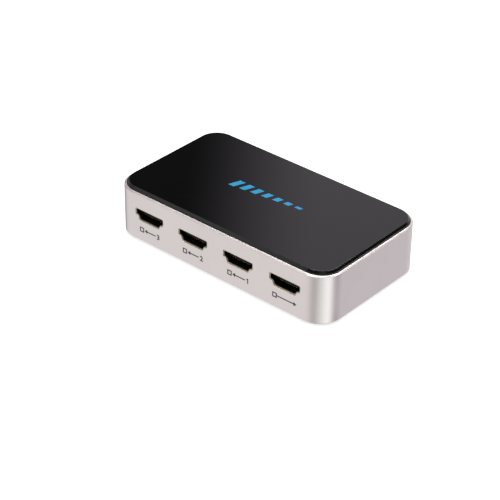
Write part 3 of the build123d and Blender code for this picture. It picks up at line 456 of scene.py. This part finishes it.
def flat_piece(name, outlines, plane, ink_name):
    """A thin layer of ink: filled outlines in the plane's X and Y, raised along its Z."""
    mesh = bmesh.new()
    for outline in outlines:
        mesh.faces.new([mesh.verts.new(plane @ Vector((x, y, 0))) for x, y in outline])
    bmesh.ops.remove_doubles(mesh, verts=mesh.verts, dist=ink_weld)
    raised = bmesh.ops.extrude_face_region(mesh, geom=list(mesh.faces))
    moved = [item for item in raised["geom"] if isinstance(item, bmesh.types.BMVert)]
    bmesh.ops.translate(mesh, verts=moved, vec=plane.to_3x3() @ Vector((0, 0, ink_thickness)))
    printed(name, mesh, ink_name)


def arc(centre, radius, start, end, steps):
    """Points along an arc, its angles in turns."""
    points = []
    for step in range(steps + 1):
        angle = 2 * math.pi * (start + (end - start) * step / steps)
        points.append((centre[0] + radius * math.cos(angle), centre[1] + radius * math.sin(angle)))
    return points


def band(centre, radius, width, start, end):
    """Part of a ring, its ends at two angles in turns, as one outline."""
    outer = arc(centre, radius + width / 2, start, end, round_steps)
    inner = arc(centre, radius - width / 2, start, end, round_steps)
    return outer + inner[::-1]


def open_box(left, bottom, side, width):
    """A square line as four outlines with mitred corners."""
    outer = [(left, bottom), (left + side, bottom), (left + side, bottom + side), (left, bottom + side)]
    steps = [(width, width), (-width, width), (-width, -width), (width, -width)]
    inner = [(x + step_x, y + step_y) for (x, y), (step_x, step_y) in zip(outer, steps)]
    return [[outer[i - 1], outer[i], inner[i], inner[i - 1]] for i in range(4)]


def arrow(start, end, middle, width, head):
    """A level arrow from start to end, as one outline."""
    neck = end - head if end > start else end + head
    wing = head * arrow_wing_share
    upper = [(start, middle + width / 2), (neck, middle + width / 2), (neck, middle + wing)]
    lower = [(neck, middle - wing), (neck, middle - width / 2), (start, middle - width / 2)]
    return [*upper, (end, middle), *lower]


def printed_one(name, plane, align):
    """A plain 1 with a short flag, placed as the other digits are; gives its width."""
    width = one_flag + ink_stroke
    tip = digit_height - one_flag_drop
    outline = [
        (one_flag, 0), (width, 0), (width, digit_height), (one_flag, digit_height),
        (0, tip), (0, tip - ink_stroke), (one_flag, digit_height - ink_stroke),
    ]
    place = plane @ Matrix.Translation((-width * align, 0, 0))
    flat_piece(name, [outline], place, "label_ink")
    return width


def printed_digit(name, text, plane, align):
    """A plain digit printed in a plane, with its left side (align 0), its middle (0.5) or its right
    side (1) at the origin; gives its width."""
    if text == "1":
        return printed_one(name, plane, align)
    curve = bpy.data.curves.new(name, "FONT")
    curve.body = text
    curve.size = digit_height / digit_font_share
    curve.extrude = ink_thickness
    curve.offset = digit_weight
    letter = add_object(name, curve)
    bpy.context.view_layer.update()
    data = bpy.data.meshes.new_from_object(letter)
    bpy.data.objects.remove(letter)
    left = min(vertex.co.x for vertex in data.vertices)
    right = max(vertex.co.x for vertex in data.vertices)
    data.transform(plane @ Matrix.Translation((-left - (right - left) * align, 0, 0)))
    mesh = bmesh.new()
    mesh.from_mesh(data)
    bpy.data.meshes.remove(data)
    bmesh.ops.remove_doubles(mesh, verts=mesh.verts, dist=ink_weld)
    printed(name, mesh, "label_ink")
    return right - left


# Planes of the two printed faces, and the labels' heights; the lights are level with the plunger
front_plane = Matrix.Rotation(math.pi / 2, 4, "X")
back_plane = Matrix.Rotation(math.pi, 4, "Z") @ front_plane
label_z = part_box("housing_shell")[0].z + label_foot
plunger_low, plunger_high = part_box("switch_plunger")
light_label_z = (plunger_low.z + plunger_high.z) / 2 + light_label_rise


def port_centre(port):
    """The middle of a receptacle's mouth on the front face."""
    low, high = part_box(f"{port}_insulator")
    return (low.x + high.x) / 2


def printed_arrow(port, left, right, outwards):
    """An open box and an arrow out of it or into it, printed under a receptacle."""
    edge = left + digit_height
    start, end = (edge, right) if outwards else (right, edge + arrow_gap)
    outlines = open_box(left, 0, digit_height, ink_stroke)
    outlines.append(arrow(start, end, digit_height / 2, ink_stroke, arrow_head))
    place = Matrix.Translation((port_centre(port), front_y, label_z)) @ front_plane
    flat_piece(f"label_arrow_{port}", outlines, place, "label_ink")


def port_labels():
    """Under each receptacle its digit and an arrow into a box, or at the output an arrow out of one."""
    half = label_width / 2
    for port, text in digit_names.items():
        place = Matrix.Translation((port_centre(port) + half, front_y, label_z)) @ front_plane
        digit_width = printed_digit(f"label_digit_{port}", text, place, align=1)
        printed_arrow(port, -half, half - digit_width - label_gap, outwards=False)
    printed_arrow("output", -output_label_width / 2, output_label_width / 2, outwards=True)


def light_labels():
    """Digits over the three channel lights and a power sign over the fourth, on the back face."""
    power_low, power_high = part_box("power_led")
    power_x = (power_low.x + power_high.x) / 2
    half_light = (power_high.x - power_low.x) / 2
    low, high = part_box("channel_leds")
    for digit, x in zip("123", (high.x - half_light, (low.x + high.x) / 2, low.x + half_light)):
        place = Matrix.Translation((x, back_y, light_label_z)) @ back_plane
        printed_digit(f"label_light_{digit}", digit, place, align=0.5)
    middle = (0, digit_height / 2)
    start = up_turn + power_sign_gap_share / 2
    ring = band(middle, (digit_height - ink_stroke) / 2, ink_stroke, start, start + 1 - power_sign_gap_share)
    half = ink_stroke / 2
    bar = [(-half, middle[1]), (half, middle[1]), (half, digit_height), (-half, digit_height)]
    place = Matrix.Translation((power_x, back_y, light_label_z)) @ back_plane
    flat_piece("label_power", [ring, bar], place, "label_ink")


def plate_mark():
    """Slanted bars of rising height, printed on the plate."""
    pitch = (mark_right - mark_left - mark_bar_width - mark_slant * mark_height) / (mark_bar_count - 1)
    outlines = []
    for index in range(mark_bar_count):
        height = mark_height * (mark_lowest_share + (1 - mark_lowest_share) * index / (mark_bar_count - 1))
        right = mark_right - pitch * index
        top_right = right - mark_slant * height
        top_y = mark_foot_y - height
        outlines.append([
            (right, mark_foot_y), (right - mark_bar_width, mark_foot_y),
            (top_right - mark_bar_width, top_y), (top_right, top_y),
        ])
    flat_piece("plate_mark", outlines, Matrix.Translation((0, 0, plate_top_z)), "mark_ink")


def snap_dome():
    """The pressed disc under the switch's plunger, built as a fixed dome; in the real switch it flattens as
    the button goes in.
    """
    low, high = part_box("switch_dome")
    middle = (low + high) / 2
    rise = high.y - low.y
    rim = (high.x - low.x) / 2
    crown = dome_crown / 2
    profile = [
        (crown, rise), (rim, dome_sheet), (rim, 0), (rim - dome_sheet, 0),
        (crown - dome_sheet, rise - dome_sheet),
    ]
    mesh = bmesh.new()
    rings = []
    for radius, reach in profile:
        circle = arc((0, 0), radius, 0, 1 - 1 / round_steps, round_steps - 1)
        rings.append([mesh.verts.new((middle.x + x, low.y + reach, middle.z + z)) for x, z in circle])
    for first, second in zip(rings, rings[1:]):
        for step in range(round_steps):
            mesh.faces.new((first[step - 1], first[step], second[step], second[step - 1]))
    mesh.faces.new(rings[0])
    mesh.faces.new(rings[-1])
    data = finished_mesh("snap_dome", mesh)
    data.materials.append(finishes["screw_steel"])
    dome = add_object("snap_dome", data)
    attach(dome, "box")
    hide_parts("switch_dome")
    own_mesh(dome)


def bare_material(name):
    """A material with an empty node tree, and the graph to fill it."""
    material = bpy.data.materials.new(name)
    material.use_nodes = True
    material.node_tree.nodes.clear()
    return material, Graph(material.node_tree)


def make_floor():
    """A plain pale floor under the feet, which also glows a little where it is seen, so that it looks
    white. Reflections see the surround in its place."""
    material, graph = bare_material("floor")
    matt = graph.node("ShaderNodeBsdfDiffuse")
    graph.feed(matt.inputs["Color"], grey(floor_albedo))
    path = graph.node("ShaderNodeLightPath").outputs
    indirect = graph.combine("MAXIMUM", path["Is Glossy Ray"], path["Is Transmission Ray"])
    seen = graph.combine("MAXIMUM", path["Is Camera Ray"], indirect)
    both = graph.node("ShaderNodeAddShader")
    graph.feed(both.inputs[0], matt.outputs["BSDF"])
    graph.feed(both.inputs[1], graph.glow(grey(1.0), graph.combine("MULTIPLY", seen, floor_glow)))
    graph.surface(both.outputs["Shader"])
    data = bpy.data.meshes.new("floor")
    corners = [(floor_half * x, floor_half * y, 0) for x, y in ((-1, -1), (1, -1), (1, 1), (-1, 1))]
    data.from_pydata(corners, [], [(0, 1, 2, 3)])
    data.materials.append(material)
    floor = add_object("floor", data)
    floor.visible_glossy = False


def make_world():
    """A soft white surround; reflections see broad light and dark fields in it."""
    world = bpy.data.worlds.new("studio")
    bpy.context.scene.world = world
    world.use_nodes = True
    graph = Graph(world.node_tree)
    way = graph.split(graph.node("ShaderNodeTexCoord").outputs["Generated"])
    azimuth = graph.combine("ARCTAN2", way["X"], graph.combine("MULTIPLY", way["Y"], -1.0))
    turn = graph.spread(azimuth, start=-math.pi, end=math.pi)
    low_ring = graph.blend(
        1.0, graph.ring(turn, low_surround), graph.ring(turn, tint_surround), kind="MULTIPLY"
    )
    height = graph.spread(way["Z"], start=low_edge, end=high_edge)
    rings = graph.blend(height, low_ring, graph.ring(turn, high_surround))
    overhead = graph.spread(way["Z"], start=zenith_start, end=zenith_end)
    sky = graph.blend(overhead, rings, grey(zenith_level))
    path = graph.node("ShaderNodeLightPath").outputs
    indirect = graph.blend(path["Is Glossy Ray"], grey(ambient_level), sky)
    direct = graph.combine("MAXIMUM", path["Is Camera Ray"], path["Is Transmission Ray"])
    graph.feed(graph.tree.nodes["Background"].inputs["Color"], graph.blend(direct, indirect, grey(1.0)))


def lamp(name, place, size, power, glints_only=False):
    """A square soft lamp at a place, turned to the origin."""
    data = bpy.data.lights.new(name, "AREA")
    data.shape = "SQUARE"
    data.size = size
    data.energy = power
    light = add_object(name, data)
    light.location = place
    light.rotation_euler = (-Vector(place)).to_track_quat("-Z", "Y").to_euler()
    light.visible_diffuse = not glints_only


def make_card():
    """A large card behind the box, on the line that the plate mirrors; only reflections see it."""
    away = Vector((-to_camera.x, -to_camera.y, to_camera.z))
    rise = across_view.cross(away)
    middle = Vector((0, 0, plate_top_z)) + away * card_distance
    offsets = [(u * card_half, v * card_half) for u, v in ((-1, -1), (1, -1), (1, 1), (-1, 1))]
    data = bpy.data.meshes.new("card")
    data.from_pydata([middle + across_view * u + rise * v for u, v in offsets], [], [(0, 1, 2, 3)])
    layer = data.uv_layers.new(name="place")
    for loop, (u, v) in zip(layer.data, offsets):
        loop.uv = (u + v * card_slant, v)
    material, graph = bare_material("card")
    place = graph.split(graph.node("ShaderNodeUVMap").outputs["UV"])["X"]
    level = graph.spread(
        place, start=card_ramp_start, end=card_ramp_end, low=card_dark, high=card_light,
        interpolation="SMOOTHSTEP",
    )
    graph.surface(graph.glow(card_tint, level))
    data.materials.append(material)
    card = add_object("card", data)
    card.visible_camera = False
    card.visible_diffuse = False
    card.visible_shadow = False
    card.visible_transmission = False


def make_camera():
    """The photograph's view."""
    level_up = to_camera.cross(across_view)
    right = across_view * math.cos(camera_roll) + level_up * math.sin(camera_roll)
    up = to_camera.cross(right)
    data = bpy.data.cameras.new("camera")
    data.lens = lens_mm
    data.sensor_width = sensor_mm
    data.clip_start = camera_clip
    camera = add_object("camera", data)
    turn = Matrix((right, up, to_camera)).transposed().to_4x4()
    camera.matrix_world = Matrix.Translation(camera_target + to_camera * camera_distance) @ turn
    bpy.context.scene.camera = camera


port_labels()
light_labels()
plate_mark()
snap_dome()
make_floor()
make_world()
make_card()
lamp("top", place=(-0.36, 0.42, 0.95), size=0.45, power=4.5)
lamp("near", place=(0.26, -0.20, 1.05), size=0.30, power=3.0, glints_only=True)
lamp("right", place=(0.36, 0.42, 0.90), size=0.55, power=16.0, glints_only=True)
lamp("front", place=(-0.18, -0.40, 1.00), size=0.40, power=8.0, glints_only=True)
make_camera()
bpy.context.scene.view_settings.view_transform = "Standard"
